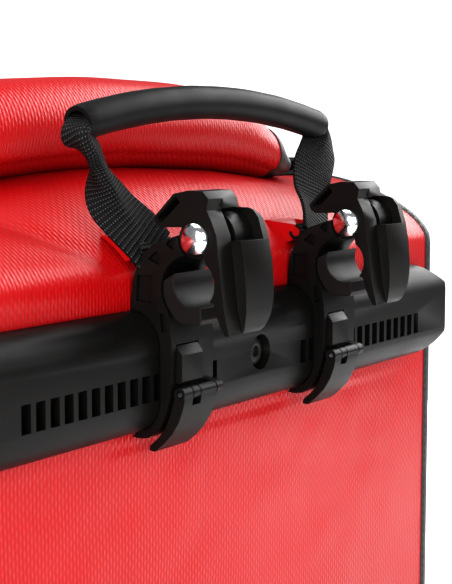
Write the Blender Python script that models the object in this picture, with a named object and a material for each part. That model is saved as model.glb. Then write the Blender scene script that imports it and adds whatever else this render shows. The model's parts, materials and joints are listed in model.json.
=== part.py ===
"""Bicycle pannier: a roll-top bag on a hook rail, with two clamping hooks and a carrying handle.

Metres, +Z up. X runs along the rail, +Y points from the rail into the bag.
The origin is the centre of the flat base.
"""

import math

import bmesh
import bpy
from mathutils import Matrix, Vector

MM = 0.001
GAP = 0.0003  # between pieces that rest on each other
SLACK = 0.0004  # between pieces that move past each other

# Bag
BAG_WIDTH = 0.334
BAG_DEPTH = 0.150
BODY_HEIGHT = 0.378  # to the crest under the rolled closure
SKIN = 0.002
BASE_CORNER = 0.016
BASE_WALL = 0.003
BASE_RISE = 0.034
BINDING_WIDTH = 0.005
BACK_SHOULDER_RUN = 0.060
BACK_SHOULDER_DROP = 0.029
BACK_SHOULDER_TURN = 0.013  # how far the back carries on upwards before it turns over
BACK_SHOULDER_FLAT = 0.020  # how far the crest carries on before it turns down
FRONT_SHOULDER_DROP = 0.075
STIFFENER_WIDTH = 0.300
STIFFENER_THICKNESS = 0.002

# Rolled closure
ROLL_HEIGHT = 0.036
ROLL_DEPTH = 0.035
ROLL_LENGTH = 0.212
ROLL_END_LENGTH = 0.014
ROLL_WALL = 0.004
BATTEN_HEIGHT = 0.018

# Rail
RAIL_LENGTH = 0.317
RAIL_DROP = 0.063  # crest of the bag to the line of slots
RAIL_ABOVE = 0.0245
RAIL_BELOW = 0.0165
RAIL_DEPTH = 0.0117
RAIL_CORNER = 0.0118
RAIL_WALL = 0.0025
SLOT_PITCH = 0.0065
SLOT_WIDTH = 0.0042
SLOT_HEIGHT = 0.0088
SLOT_FIRST = 4.74  # pitches from the middle to the first slot
SLOT_COUNT = 16
SCREW_SHAFT = 0.0022
SCREW_HEAD = 0.0052
SCREW_RISE = 0.0036
OUTER_SCREW_X = 0.135

# Hooks
HOOK_SLOT = 3  # the slot that each hook stands on
HOOK_WIDTH = 0.0245
TUBE_DIAMETER = 0.016
SEAT_DIAMETER = 0.0226
RIVET_SHAFT = 0.0024
RIVET_HEAD = 0.00545
HUB_RADIUS = 0.0083
CHEEK_RADIUS = 0.0062
SPRING_WIRE = 0.0009
SPRING_RADIUS = 0.0042
PIN_RADIUS = 0.0009
KNUCKLE_RADIUS = 0.0023

# Handle
STRAP_WIDTH = 0.020
STRAP_THICKNESS = 0.0015
GRIP_LENGTH = 0.154
GRIP_RADIUS = 0.0060
GRIP_WALL = 0.0018
GRIP_RISE = 0.008
GRIP_LIFT = 0.0413  # from the strap anchors to the ends of the grip
ANCHOR_X = 0.052
ANCHOR_BAR = 0.0015

# Closure buckles
BUCKLE_WIDTH = 0.024
BUCKLE_LENGTH = 0.022
BUCKLE_HEIGHT = 0.0078
BUCKLE_OFFSET = 0.015  # from the crest to the middle of the side, where the straps run
BUCKLE_INSET = 0.009  # from the bag's side to the buckle's outer end
SIDE_STRAP_END = 0.115

# Lower anchor
ANCHOR_TRACK_Z = 0.085
ANCHOR_TRACK_LENGTH = 0.170
ANCHOR_TRACK_HEIGHT = 0.034
ANCHOR_TRACK_DEPTH = 0.0075
ANCHOR_CHANNEL = 0.018
ANCHOR_MOUTH = 0.009

BACK_Y = -BAG_DEPTH / 2
RAIL_Y = BACK_Y - GAP - RAIL_DEPTH
RAIL_BEND = min(RAIL_CORNER, RAIL_DEPTH + 0.1 * MM)  # the corner stops at the rail's back
RAIL_Z = BODY_HEIGHT - RAIL_DROP
HOOK_X = (SLOT_FIRST + HOOK_SLOT) * SLOT_PITCH
CREST_Y = BACK_Y + BACK_SHOULDER_RUN


def clear_scene():
    for thing in list(bpy.data.objects):
        bpy.data.objects.remove(thing, do_unlink=True)


def material(name, colour, roughness, metallic=0.0):
    made = bpy.data.materials.get(name)
    if made is None:
        made = bpy.data.materials.new(name)
        made.use_nodes = True
        shader = made.node_tree.nodes["Principled BSDF"]
        shader.inputs["Base Color"].default_value = (*colour, 1.0)
        shader.inputs["Roughness"].default_value = roughness
        shader.inputs["Metallic"].default_value = metallic
    return made


def finish(name):
    finishes = {
        "tarpaulin": ((0.66, 0.016, 0.02), 0.4, 0.0),
        "binding": ((0.02, 0.02, 0.022), 0.6, 0.0),
        "webbing": ((0.018, 0.018, 0.02), 0.8, 0.0),
        "moulding": ((0.022, 0.02, 0.022), 0.45, 0.0),
        "insert": ((0.028, 0.026, 0.027), 0.55, 0.0),
        "grip": ((0.022, 0.022, 0.024), 0.5, 0.0),
        "sheet": ((0.05, 0.05, 0.05), 0.5, 0.0),
        "steel": ((0.75, 0.75, 0.77), 0.2, 1.0),
    }
    return material(name, *finishes[name])


def add(name, bm, look, origin=None):
    """One named object from a bmesh, with its origin moved to a point."""
    bmesh.ops.recalc_face_normals(bm, faces=bm.faces)
    mesh = bpy.data.meshes.new(name)
    if origin is not None:
        bm.transform(Matrix.Translation(-Vector(origin)))
    bm.to_mesh(mesh)
    bm.free()
    mesh.materials.append(finish(look))
    mesh.shade_smooth()
    mesh.set_sharp_from_angle(angle=math.radians(35))
    thing = bpy.data.objects.new(name, mesh)
    if origin is not None:
        thing.location = origin
    bpy.context.collection.objects.link(thing)
    return thing


def cutter(name, bm):
    thing = add(name, bm, "sheet")
    thing.hide_render = True
    thing.display_type = "WIRE"
    return thing


def boolean(target, tool, operation="DIFFERENCE"):
    change = target.modifiers.new(tool.name, "BOOLEAN")
    change.solver = "EXACT"
    change.operation = operation
    change.object = tool


def cut(target, name, bm):
    boolean(target, cutter(name, bm))


def join(target, name, bm):
    boolean(target, cutter(name, bm), "UNION")


def prism(outline, low, high, axis="X"):
    """A bmesh of an outline drawn in the plane across an axis, from low to high along it."""
    places = {
        "X": lambda a, b, along: (along, a, b),
        "Y": lambda a, b, along: (a, along, b),
        "Z": lambda a, b, along: (a, b, along),
    }
    place = places[axis]
    bm = bmesh.new()
    base = bm.faces.new([bm.verts.new(place(a, b, low)) for a, b in outline])
    made = bmesh.ops.extrude_face_region(bm, geom=[base])
    moved = [item for item in made["geom"] if isinstance(item, bmesh.types.BMVert)]
    bmesh.ops.translate(bm, verts=moved, vec=place(0.0, 0.0, high - low))
    return bm


def block(low, high):
    outline = [(low[1], low[2]), (high[1], low[2]), (high[1], high[2]), (low[1], high[2])]
    return prism(outline, low[0], high[0])


def merge(*shapes):
    """Several bmeshes as one, their solids kept apart."""
    whole = bmesh.new()
    for shape in shapes:
        piece = bpy.data.meshes.new("piece")
        shape.to_mesh(piece)
        shape.free()
        whole.from_mesh(piece)
        bpy.data.meshes.remove(piece)
    return whole


def arc(centre, radius, start, end, steps):
    """Points on a circle from one angle to another, in degrees, both ends included."""
    turns = [math.radians(start + (end - start) * step / steps) for step in range(steps + 1)]
    return [(centre[0] + radius * math.cos(a), centre[1] + radius * math.sin(a)) for a in turns]


def disc(centre, radius, steps=24):
    return arc(centre, radius, 0, 360, steps)[:-1]


def skin_over(sections, hollow=None):
    """A skin over closed sections in a row, with capped or ring ends."""
    bm = bmesh.new()

    def rings(loops):
        return [[bm.verts.new(point) for point in loop] for loop in loops]

    def wall(stack):
        for near, far in zip(stack, stack[1:]):
            for k in range(len(near)):
                after = (k + 1) % len(near)
                bm.faces.new((near[k], near[after], far[after], far[k]))

    outer = rings(sections)
    wall(outer)
    if hollow is None:
        bm.faces.new(list(reversed(outer[0])))
        bm.faces.new(outer[-1])
        return bm
    inner = rings(hollow)
    wall(inner)
    for end in (0, -1):
        for k in range(len(outer[end])):
            after = (k + 1) % len(outer[end])
            bm.faces.new((outer[end][k], outer[end][after], inner[end][after], inner[end][k]))
    return bm


def above(y, z):
    """A point given in millimetres from the rail's front face and its top."""
    return RAIL_Y + y * MM, RAIL_Z + RAIL_ABOVE + z * MM


def level(y, z):
    """A point given in millimetres from the rail's front face and the line of slots."""
    return RAIL_Y + y * MM, RAIL_Z + z * MM


def below(y, z):
    """A point given in millimetres from the rail's front face and its bottom."""
    return RAIL_Y + y * MM, RAIL_Z - RAIL_BELOW + z * MM


RIVET = above(-14.2, 24.6)
SEAT = above(-12.0, 8.0)
TUBE = (SEAT[0] - 1.3 * MM, SEAT[1] + 2.0 * MM)
LOCK = level(-7.4, -2.2)
# The hooks' crowns fall towards the bag, so the strap's axis stands higher where it is nearer to the rail.
CROWN_FALL = 1.5
AXIS_Y = BACK_Y - 1.4 * MM
HANDLE_AXIS = (AXIS_Y, above(0, 36.1)[1] - CROWN_FALL * (AXIS_Y - RAIL_Y))


def bag_profile(inset):
    """The bag's closed outline across X, moved inwards by inset."""
    corner = BASE_CORNER - inset
    back, front = BACK_Y + inset, BAG_DEPTH / 2 - inset
    crest = BODY_HEIGHT - inset
    low = BASE_CORNER
    points = arc((BACK_Y + low, low), corner, 270, 180, 5)
    start = BODY_HEIGHT - BACK_SHOULDER_DROP
    turn = start + BACK_SHOULDER_TURN - 0.4 * inset
    for step in range(13):
        t = step / 12
        weights = ((1 - t) ** 3, 3 * t * (1 - t) ** 2, 3 * t * t * (1 - t), t ** 3)
        ends_y = (back, back, CREST_Y - BACK_SHOULDER_FLAT, CREST_Y)
        ends_z = (start, turn, crest, crest)
        points.append((sum(w * y for w, y in zip(weights, ends_y)),
                       sum(w * z for w, z in zip(weights, ends_z))))
    start = BODY_HEIGHT - FRONT_SHOULDER_DROP
    for step in range(1, 13):
        angle = math.radians(90 * step / 12)
        y = CREST_Y + (front - CREST_Y) * math.sin(angle)
        points.append((y, start + (crest - start) * math.cos(angle)))
    points += arc((BAG_DEPTH / 2 - low, low), corner, 0, -90, 5)
    return points


def skin_y(z, proud=0.0):
    """Y of the bag's back at a height, or of a line that stands proud of it."""
    run = bag_profile(-proud)[5:19]
    for (y0, z0), (y1, z1) in zip(run, run[1:]):
        if z0 <= z <= z1:
            return y0 + (y1 - y0) * (z - z0) / max(z1 - z0, 1e-9)
    return run[0][0]


def strip_between(outer, inner):
    """A closed outline from an outer run of points and the inner run behind it."""
    return outer + list(reversed(inner))


def bag_panels():
    outer, inner = bag_profile(0.0), bag_profile(SKIN)
    half = BAG_WIDTH / 2 - BINDING_WIDTH - GAP
    crest = 6 + 12
    last = len(outer) - 1

    back = [(BACK_Y, BASE_RISE + GAP)] + outer[6:crest + 1]
    back_in = [(BACK_Y + SKIN, BASE_RISE + GAP)] + inner[6:crest + 1]
    back[-1] = (CREST_Y - GAP, back[-1][1])
    back_in[-1] = (CREST_Y - GAP, back_in[-1][1])
    panel = add("back_panel", prism(strip_between(back, back_in), -half, half), "tarpaulin")
    for place, x in enumerate((-OUTER_SCREW_X, 0.0, OUTER_SCREW_X)):
        hole = disc((x, RAIL_Z + SCREW_RISE), SCREW_SHAFT + SLACK, 16)
        drill = prism(hole, BACK_Y - SKIN, BACK_Y + 4 * SKIN, "Y")
        cut(panel, f"panel_hole_{place}", drill)

    front = [(CREST_Y + GAP, outer[crest][1])] + outer[crest + 1:last - 5]
    front.append((BAG_DEPTH / 2, BASE_RISE + GAP))
    front_in = [(CREST_Y + GAP, inner[crest][1])] + inner[crest + 1:last - 5]
    front_in.append((BAG_DEPTH / 2 - SKIN, BASE_RISE + GAP))
    add("front_panel", prism(strip_between(front, front_in), -half, half), "tarpaulin")

    tray_out = [(BACK_Y, BASE_RISE)] + list(reversed(outer[:6])) + list(reversed(outer[last - 5:]))
    tray_out.append((BAG_DEPTH / 2, BASE_RISE))
    inner = bag_profile(BASE_WALL)
    tray_in = [(BACK_Y + BASE_WALL, BASE_RISE)] + list(reversed(inner[:6]))
    tray_in += list(reversed(inner[last - 5:])) + [(BAG_DEPTH / 2 - BASE_WALL, BASE_RISE)]
    add("base_tray", prism(strip_between(tray_out, tray_in), -half, half), "binding")

    gusset_outline = bag_profile(SKIN + GAP + GAP)
    for side, word in ((-1, "left"), (1, "right")):
        edge = side * BAG_WIDTH / 2
        ring = skin_over(
            [[(edge, y, z) for y, z in bag_profile(0.0)],
             [(edge - side * BINDING_WIDTH, y, z) for y, z in bag_profile(0.0)]],
            [[(edge, y, z) for y, z in bag_profile(SKIN)],
             [(edge - side * BINDING_WIDTH, y, z) for y, z in bag_profile(SKIN)]],
        )
        add(f"edge_binding_{word}", ring, "binding")
        near, far = edge - side * 0.5 * SKIN, edge - side * 1.5 * SKIN
        plate = prism(gusset_outline, min(near, far), max(near, far))
        add(f"side_gusset_{word}", plate, "tarpaulin")


def back_stiffener():
    y = BACK_Y + SKIN + GAP
    low = (-STIFFENER_WIDTH / 2, y, BASE_RISE + 3 * MM)
    high = (STIFFENER_WIDTH / 2, y + STIFFENER_THICKNESS, BODY_HEIGHT - BACK_SHOULDER_DROP - 3 * MM)
    plate = add("back_stiffener", block(low, high), "sheet")
    for place, x in enumerate((-OUTER_SCREW_X, 0.0, OUTER_SCREW_X)):
        hole = disc((x, RAIL_Z + SCREW_RISE), SCREW_SHAFT + SLACK, 16)
        cut(plate, f"stiffener_hole_{place}", prism(hole, y - SKIN, y + 3 * SKIN, "Y"))


def roll_section(x, height, depth):
    """An ellipse standing on the crest of the bag at x."""
    foot = BODY_HEIGHT + GAP
    ring = arc((CREST_Y, foot + ROLL_HEIGHT * height / 2), 1.0, 0, 360, 24)[:-1]
    centre_z = foot + ROLL_HEIGHT * height / 2
    return [
        (x, CREST_Y + (y - CREST_Y) * ROLL_DEPTH * depth / 2,
         centre_z + (z - centre_z) * ROLL_HEIGHT * height / 2)
        for y, z in ring
    ]


def roll_inner(x, height, depth):
    full = roll_section(x, height, depth)
    middle = sum((Vector(point) for point in full), Vector()) / len(full)
    shrink_z = 1 - 2 * ROLL_WALL / (ROLL_HEIGHT * height)
    shrink_y = 1 - 2 * ROLL_WALL / (ROLL_DEPTH * depth)
    return [
        (x, middle.y + (y - middle.y) * shrink_y, middle.z + (z - middle.z) * shrink_z)
        for _, y, z in full
    ]


def rolled_closure():
    half = ROLL_LENGTH / 2
    stations = ((-1.0, 0.66, 0.92), (-0.9, 0.84, 0.97), (-0.78, 1.0, 1.0),
                (0.78, 1.0, 1.0), (0.9, 0.84, 0.97), (1.0, 0.66, 0.92))
    outer = [roll_section(half * x, height, depth) for x, height, depth in stations]
    inner = [roll_inner(half * x, height, depth) for x, height, depth in stations]
    add("roll_closure", skin_over(outer, inner), "tarpaulin")

    middle = BODY_HEIGHT + GAP + ROLL_HEIGHT * 0.33
    low = (-half * 0.95, CREST_Y - 1 * MM, middle - BATTEN_HEIGHT * 0.36)
    high = (half * 0.95, CREST_Y + 1 * MM, middle + BATTEN_HEIGHT * 0.36)
    add("closure_batten", block(low, high), "sheet")

    for side, word in ((-1, "left"), (1, "right")):
        near, far = half + GAP, half + ROLL_END_LENGTH
        rings = [roll_section(side * near, 0.66, 0.92),
                 roll_section(side * (near + far) / 2, 0.54, 0.86),
                 roll_section(side * far, 0.38, 0.74)]
        add(f"roll_end_{word}", skin_over(rings), "binding")


def rail_outline(inset):
    top, bottom = RAIL_Z + RAIL_ABOVE, RAIL_Z - RAIL_BELOW
    back = RAIL_Y + RAIL_DEPTH
    radius = RAIL_BEND
    ring = arc((RAIL_Y + radius, top - radius), radius - inset, 90, 180, 8)
    ring += arc((RAIL_Y + radius, bottom + radius), radius - inset, 180, 270, 8)
    if ring[0][0] < back - 0.01 * MM:
        ring = [(back, ring[0][1])] + ring + [(back, ring[-1][1])]
    return ring


def slot_x(number):
    return (SLOT_FIRST + number) * SLOT_PITCH


def mounting_rail():
    half = RAIL_LENGTH / 2
    rail = add("mounting_rail", prism(rail_outline(0.0), -half, half), "moulding")
    back = RAIL_Y + RAIL_DEPTH
    inside = rail_outline(RAIL_WALL)
    inside = [(back + RAIL_WALL, inside[0][1])] + inside + [(back + RAIL_WALL, inside[-1][1])]
    boss = SCREW_HEAD + 2.2 * MM
    clear_ends = OUTER_SCREW_X + boss
    stretches = ((-half + 3 * MM, -clear_ends), (-OUTER_SCREW_X + boss, -boss),
                 (boss, OUTER_SCREW_X - boss), (clear_ends, half - 3 * MM))
    for place, (low, high) in enumerate(stretches):
        cut(rail, f"rail_channel_{place}", prism(inside, low, high))

    windows = []
    for number in range(SLOT_COUNT):
        for side in (-1, 1):
            x = side * slot_x(number)
            low = (x - SLOT_WIDTH / 2, RAIL_Y - RAIL_WALL, RAIL_Z - SLOT_HEIGHT / 2)
            high = (x + SLOT_WIDTH / 2, RAIL_Y + 1.6 * RAIL_WALL, RAIL_Z + SLOT_HEIGHT / 2)
            windows.append(block(low, high))
    cut(rail, "rail_slots", merge(*windows))

    ends = []
    for side in (-1, 1):
        tip, corner = side * (half + 2 * MM), side * (half - 17 * MM)
        top, bottom = RAIL_Z + RAIL_ABOVE + 1 * MM, RAIL_Z - RAIL_BELOW - 1 * MM
        ends.append(prism([(tip, top), (corner, top), (tip, top - 11 * MM)],
                          RAIL_Y - 1 * MM, back + 1 * MM, "Y"))
        ends.append(prism([(tip, bottom), (corner, bottom), (tip, bottom + 12 * MM)],
                          RAIL_Y - 1 * MM, back + 1 * MM, "Y"))
    cut(rail, "rail_end_chamfers", merge(*ends))

    seat = disc((0.0, RAIL_Z + SCREW_RISE), SCREW_HEAD + 1.3 * MM)
    cut(rail, "screw_seat", prism(seat, RAIL_Y - 1 * MM, RAIL_Y + 5 * MM, "Y"))
    bore = disc((0.0, RAIL_Z + SCREW_RISE), SCREW_SHAFT + SLACK, 16)
    cut(rail, "screw_bore", prism(bore, RAIL_Y + 4 * MM, back + 1 * MM, "Y"))
    for side in (-1, 1):
        bore = disc((side * OUTER_SCREW_X, RAIL_Z + SCREW_RISE), SCREW_SHAFT + SLACK, 16)
        drill = prism(bore, RAIL_Y + 0.35 * RAIL_DEPTH, back + 1 * MM, "Y")
        cut(rail, f"end_bore_{'left' if side < 0 else 'right'}", drill)


def screw(x, z, head_y, tip_y, radius, head_radius, head_thickness):
    """A headed screw along Y, the head at head_y and the shaft running to tip_y."""
    way = 1 if tip_y > head_y else -1
    rings = (
        (head_y, head_radius * 0.8), (head_y + way * head_thickness * 0.4, head_radius),
        (head_y + way * head_thickness, head_radius), (head_y + way * head_thickness, radius),
        (tip_y, radius),
    )
    sections = [[(x + r * math.cos(a), y, z + r * math.sin(a))
                 for a in (math.radians(18 * k) for k in range(20))] for y, r in rings]
    return skin_over(sections)


def rail_fasteners():
    z = RAIL_Z + SCREW_RISE
    inside = BACK_Y + SKIN + GAP + STIFFENER_THICKNESS
    nut = 3.2 * MM
    front = screw(0.0, z, RAIL_Y + 2.0 * MM, inside + GAP + nut, SCREW_SHAFT, SCREW_HEAD, 2.6 * MM)
    screws = add("rail_screw_centre", front, "steel")
    for word, side in (("left", -1), ("right", 1)):
        end = screw(side * OUTER_SCREW_X, z, inside + GAP + 2.6 * MM, RAIL_Y + 0.45 * RAIL_DEPTH,
                    SCREW_SHAFT, SCREW_HEAD, 2.6 * MM)
        add(f"rail_screw_{word}", end, "steel")
    cross = []
    for turn in (0, 90):
        long, short = 2.6 * MM, 0.5 * MM
        half_x, half_z = (long, short) if turn == 0 else (short, long)
        cross.append(block((-half_x, RAIL_Y, z - half_z), (half_x, RAIL_Y + 3.2 * MM, z + half_z)))
    for place, arm in enumerate(cross):
        cut(screws, f"screw_cross_{place}", arm)
    hexagon = arc((0.0, z), 4.6 * MM, 0, 360, 6)[:-1]
    plate = prism(hexagon, inside + GAP, inside + GAP + nut, "Y")
    nut_piece = add("rail_nut", plate, "steel")
    bore = disc((0.0, z), SCREW_SHAFT + GAP, 16)
    cut(nut_piece, "nut_bore", prism(bore, inside - 2 * MM, inside + 3 * nut, "Y"))


def hook_body(word, x):
    """The hook: it wraps the rail, seats the tube and carries the jaw on an ear."""
    left, right = x - HOOK_WIDTH / 2, x + HOOK_WIDTH / 2
    top, bottom = RAIL_Z + RAIL_ABOVE, RAIL_Z - RAIL_BELOW
    reach = RAIL_BEND + GAP
    wrap = [(RAIL_Y + RAIL_DEPTH, top + GAP)]
    wrap += arc((RAIL_Y + RAIL_BEND, top - RAIL_BEND), reach, 90, 180, 8)
    wrap += arc((RAIL_Y + RAIL_BEND, bottom + RAIL_BEND), reach, 180, 262, 8)
    outside = [below(11.2, -1.5), below(7.8, -1.8), below(4.9, -1.3), below(2.2, 0.3),
               below(-0.4, 3.2), below(-2.7, 8.0), level(-4.2, -3.5), level(-4.6, 0.6),
               level(-4.9, 14.3), above(-4.4, -5.4), above(-3.9, -1.5)]
    outside = [(min(y, RAIL_Y + RAIL_DEPTH - 0.5 * MM), z) for y, z in outside]
    seat = arc(SEAT, SEAT_DIAMETER / 2, -39, 82, 10)
    collar = arc(RIVET, CHEEK_RADIUS + SLACK, -55, 9, 5)
    crown = [above(-4.6, 24.7), above(-1.2, 23.5), above(2.0, 22.4), above(4.3, 20.9),
             above(6.5, 18.9), above(8.4, 15.9), above(9.8, 12.6), above(10.8, 9.0),
             above(11.3, 5.0)]
    crown = [(min(y, RAIL_Y + RAIL_DEPTH - GAP), z) for y, z in crown]
    body = add(f"hook_body_{word}", prism(wrap + outside + seat + collar + crown, left, right),
               "moulding", (x, *level(0, 0)))

    ear = arc(SEAT, SEAT_DIAMETER / 2, 60, 124, 6)
    ear += arc(RIVET, HUB_RADIUS, 240, 0, 16)
    ear += [above(-2.0, 22.4), above(-2.0, 19.0)]
    join(body, f"ear_{word}", prism(ear, x - 1.1 * MM, x + 9.1 * MM))

    lugs = []
    for low, high in ((-6.1, -2.3), (7.7, 11.2)):
        lug = arc(LOCK, KNUCKLE_RADIUS, 100, 260, 8)
        lug += [level(-3.4, -4.9), level(-3.4, 0.3)]
        lugs.append(prism(lug, x + low * MM, x + high * MM))
    join(body, f"lugs_{word}", merge(*lugs))

    hole = disc(RIVET, RIVET_SHAFT + GAP, 20)
    cut(body, f"rivet_hole_{word}", prism(hole, left - 1 * MM, right + 1 * MM))
    hole = disc(LOCK, PIN_RADIUS + GAP, 12)
    cut(body, f"pin_hole_{word}", prism(hole, left - 1 * MM, right + 1 * MM))

    low = (x - 9.7 * MM, RAIL_Y - 9 * MM, RAIL_Z + 0.5 * MM)
    high = (x + 3.5 * MM, RAIL_Y + 2 * MM, RAIL_Z + 14.0 * MM)
    cut(body, f"catch_window_{word}", block(low, high))

    hollows = (
        [above(-2.6, 22.6), above(-3.9, 24.0), above(-6.2, 24.4), above(-5.4, 20.6)],
        [above(4.6, 17.4), above(1.3, 20.2), above(-0.6, 19.2), above(0.2, 15.6)],
        [above(9.0, 12.0), above(2.7, 12.2), above(3.2, 2.8), above(9.6, 3.4)],
        [above(-0.1, -0.2), above(-2.4, -0.4), above(-3.0, -6.0), above(-0.6, -6.4)],
    )
    pockets = [prism(hollow, left - 1 * MM, left + 1.6 * MM) for hollow in hollows]
    cut(body, f"pockets_{word}", merge(*pockets))
    return body


def tube_insert(word, x):
    """The liner that brings the seat down to a thinner tube."""
    outer = arc(SEAT, SEAT_DIAMETER / 2 - GAP, 14, -39, 6)
    outer += [above(-5.6, -1.9), above(-8.6, -3.3), above(-15.5, -3.3), above(-16.4, -1.6)]
    inner = arc(TUBE, TUBE_DIAMETER / 2, 252, 385, 12)
    half = HOOK_WIDTH / 2 - 0.6 * MM
    add(f"tube_insert_{word}", prism(outer + inner, x - half, x + half), "insert")


def jaw(word, x):
    """The clamping jaw: two cheeks on the rivet, a finger grip and a thumb pad."""
    tip = [above(-25.7, -5.9), above(-24.0, -3.0), above(-22.4, 0.5), above(-21.5, 4.0)]
    bite = arc(TUBE, TUBE_DIAMETER / 2 + SLACK, 219, 142, 8)
    bite += [above(-18.2, 16.8), above(-17.8, 18.6)]
    cheek = arc(RIVET, CHEEK_RADIUS, 236, 395, 12)
    pad = [above(-8.3, 28.3), above(-1.0, 28.0), above(1.3, 28.9), above(2.0, 31.2),
           above(-5.9, 39.0), above(-11.5, 40.1), above(-17.2, 40.0), above(-19.4, 37.6)]
    flange_front = [above(-18.8, 33.9), above(-20.5, 30.7), above(-22.5, 25.9), above(-23.6, 17.9),
                    above(-24.6, 9.5), above(-25.5, 1.7), above(-26.8, -3.5), above(-27.3, -5.9)]
    grip_front = [above(-20.0, 34.4), above(-22.5, 33.4), above(-24.6, 30.8), above(-26.7, 23.8),
                  above(-28.0, 16.8), above(-28.6, 9.7), above(-28.5, 0.8), above(-27.9, -4.0),
                  above(-27.3, -5.9)]
    left, split, right = x - 12.25 * MM, x - 4.0 * MM, x + 15.3 * MM
    piece = add(f"jaw_{word}", prism(tip + bite + cheek + pad + flange_front, left, split + 1 * MM),
                "moulding", (x, *RIVET))
    join(piece, f"jaw_grip_{word}", prism(tip + bite + cheek + pad + grip_front, split, right))

    foot, head = RAIL_Z + RAIL_ABOVE - 6.4 * MM, RAIL_Z + RAIL_ABOVE + 41 * MM
    trim = [(x + 5.2 * MM, foot - 2 * MM), (x + 5.2 * MM, foot), (x + 8.6 * MM, foot + 1.6 * MM),
            (x + 11.2 * MM, foot + 5.0 * MM), (x + 12.8 * MM, foot + 11.0 * MM),
            (x + 12.8 * MM, head - 13.0 * MM), (x + 11.8 * MM, head - 9.0 * MM),
            (x + 9.6 * MM, head - 6.9 * MM), (x + 4.6 * MM, head - 6.2 * MM),
            (x + 4.6 * MM, head + 2 * MM),
            (x + 19 * MM, head + 2 * MM), (x + 19 * MM, foot - 2 * MM)]
    cut(piece, f"jaw_trim_{word}", prism(trim, RAIL_Y - 40 * MM, RAIL_Y + 10 * MM, "Y"))
    pocket = disc(RIVET, HUB_RADIUS + 0.5 * MM, 32)
    cut(piece, f"jaw_pocket_{word}", prism(pocket, split, x + 9.4 * MM))
    window = [above(-14.2, 24.0), above(-14.2, 34.5), above(-32.0, 34.5), above(-32.0, 24.0)]
    cut(piece, f"jaw_window_{word}", prism(window, split, x + 9.4 * MM))
    slot = [above(-0.6, 29.2), above(0.9, 30.9), above(-6.6, 38.0), above(-8.3, 36.3)]
    cut(piece, f"pad_slot_{word}", prism(slot, left - 1 * MM, right + 1 * MM))
    hole = disc(RIVET, RIVET_SHAFT + GAP, 20)
    cut(piece, f"jaw_hole_{word}", prism(hole, left - 1 * MM, right + 1 * MM))


def rivet(word, x):
    """A domed rivet through the jaw's cheeks and the hook's ear."""
    left, right = x - 12.25 * MM - GAP, x + 12.9 * MM + GAP
    rings = [(left - 2.9 * MM, 0.12), (left - 2.6 * MM, 0.45), (left - 1.9 * MM, 0.74),
             (left - 0.9 * MM, 0.94), (left, 1.0)]
    rings = [(along, share * RIVET_HEAD) for along, share in rings]
    rings += [(left, RIVET_SHAFT), (right, RIVET_SHAFT), (right, 0.7 * RIVET_HEAD),
              (right + 1.2 * MM, 0.6 * RIVET_HEAD)]
    sections = [[(along, y, z) for y, z in disc(RIVET, radius, 20)] for along, radius in rings]
    add(f"jaw_rivet_{word}", skin_over(sections), "steel", (x, *RIVET))


def spring(word, x):
    """The torsion spring that closes the jaw: two turns round the rivet."""
    start, end = x - 3.2 * MM, x - 1.9 * MM
    turns, steps = 1.5, 30
    points = []
    for step in range(steps + 1):
        share = step / steps
        angle = math.radians(250) - share * turns * 2 * math.pi
        points.append(Vector((start + (end - start) * share,
                              RIVET[0] + SPRING_RADIUS * math.cos(angle),
                              RIVET[1] + SPRING_RADIUS * math.sin(angle))))
    sections = []
    for step, point in enumerate(points):
        ahead = points[min(step + 1, steps)] - points[max(step - 1, 0)]
        out = (point - Vector((point.x, *RIVET))).normalized()
        side = ahead.normalized().cross(out)
        ring = []
        for corner in range(6):
            turn = math.radians(60 * corner)
            spread = out * math.cos(turn) + side * math.sin(turn)
            ring.append(tuple(point + spread * SPRING_WIRE / 2))
        sections.append(ring)
    add(f"jaw_spring_{word}", skin_over(sections), "steel", (x, *RIVET))


def lock_lever(word, x):
    """The curved lever under the hook, with the pin that it turns on."""
    outer = [level(-9.6, -4.0), below(-9.0, 9.8), below(-7.3, 5.2), below(-4.6, 0.9),
             below(-1.2, -2.7), below(2.6, -5.8), below(4.9, -5.6), below(4.6, -3.9)]
    inner = [below(1.4, -1.2), below(-1.4, 2.0), below(-3.6, 7.0), level(-5.0, -4.6)]
    knuckle = arc(LOCK, KNUCKLE_RADIUS, -35, 205, 14)
    outline = knuckle + outer + inner
    low, high = x - 11.6 * MM, x + 7.3 * MM
    lever = add(f"lock_lever_{word}", prism(outline, low, high), "moulding", (x, *LOCK))
    notch = disc(LOCK, KNUCKLE_RADIUS + 5 * SLACK, 20)
    cut(lever, f"lever_notch_{word}", prism(notch, x - 6.5 * MM, x - 1.9 * MM))
    hole = disc(LOCK, PIN_RADIUS + GAP, 12)
    cut(lever, f"lever_hole_{word}", prism(hole, low - 1 * MM, high + 1 * MM))
    groove = [below(-6.9, 3.4), below(-5.4, 1.0), below(-6.6, 0.0), below(-8.4, 3.0)]
    cut(lever, f"lever_groove_{word}", prism(groove, low + 2.4 * MM, high - 2.4 * MM))
    pin = prism(disc(LOCK, PIN_RADIUS, 12), x - 11.2 * MM, x + 10.8 * MM)
    add(f"lock_pin_{word}", pin, "steel")


def slot_catch(word, x):
    """The sprung tongue in the hook's window, with two teeth in the rail's slots."""
    plate = [level(-7.0, 1.6), level(-6.2, 0.9), level(-0.6, 0.9), level(-0.6, 13.6),
             level(-4.6, 13.6), level(-7.0, 10.4)]
    tongue = add(f"slot_catch_{word}", prism(plate, x - 9.3 * MM, x + 3.1 * MM), "moulding")
    teeth = []
    for number in (0, 1):
        middle = x - number * SLOT_PITCH
        half = SLOT_WIDTH / 2 - SLACK
        low = (middle - half, RAIL_Y - 1.2 * MM, RAIL_Z + 1.2 * MM)
        high = (middle + half, RAIL_Y + 0.9 * RAIL_WALL, RAIL_Z + 4.0 * MM)
        teeth.append(block(low, high))
    join(tongue, f"catch_teeth_{word}", merge(*teeth))


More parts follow.
